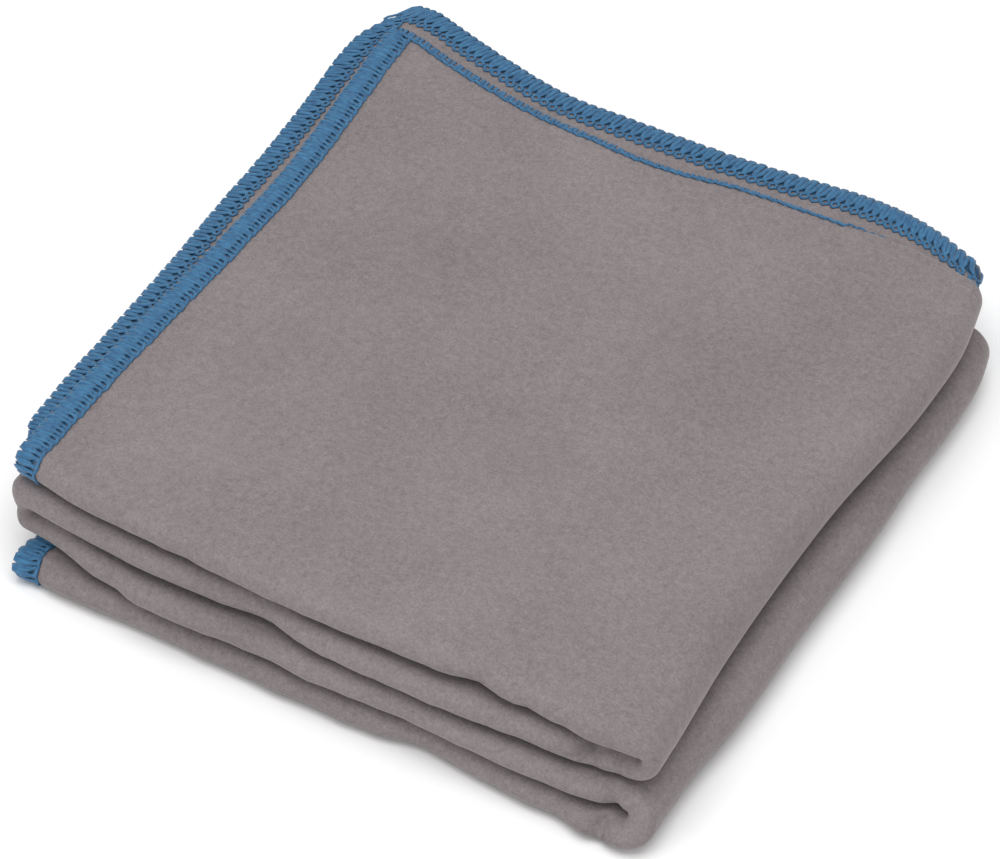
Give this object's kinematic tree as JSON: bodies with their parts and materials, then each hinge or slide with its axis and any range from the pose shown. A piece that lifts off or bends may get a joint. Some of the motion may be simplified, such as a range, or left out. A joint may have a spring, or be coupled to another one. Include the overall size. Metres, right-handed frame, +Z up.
{
  "type": "quick dry towel",
  "caption": "Folded suede microfibre travel towel: one grey rectangular sheet with blue overlocked edges, folded into a flat square pile.",
  "frame": {"origin": "under the middle of the folded towel, on the surface that it lies on", "axes": "+X from the two blue ends towards the two double bends, +Y from the folded rim towards the free side edges, +Z up through the pile"},
  "size_m": [0.207, 0.2124, 0.04],
  "materials": {
    "microfibre": "brushed suede microfibre, matt with a soft nap sheen",
    "seam_thread": "textured polyester overlock thread, mid blue, slight lustre"
  },
  "bodies": {
    "root": {"towel_cloth": "microfibre", "top_end_needle_thread": "seam_thread", "top_end_upper_looper_thread": "seam_thread", "top_end_lower_looper_thread": "seam_thread", "bottom_end_needle_thread": "seam_thread", "bottom_end_upper_looper_thread": "seam_thread", "bottom_end_lower_looper_thread": "seam_thread", "upper_side_needle_thread": "seam_thread", "upper_side_upper_looper_thread": "seam_thread", "upper_side_lower_looper_thread": "seam_thread", "lower_side_needle_thread": "seam_thread", "lower_side_upper_looper_thread": "seam_thread", "lower_side_lower_looper_thread": "seam_thread"}
  },
  "joints": []
}
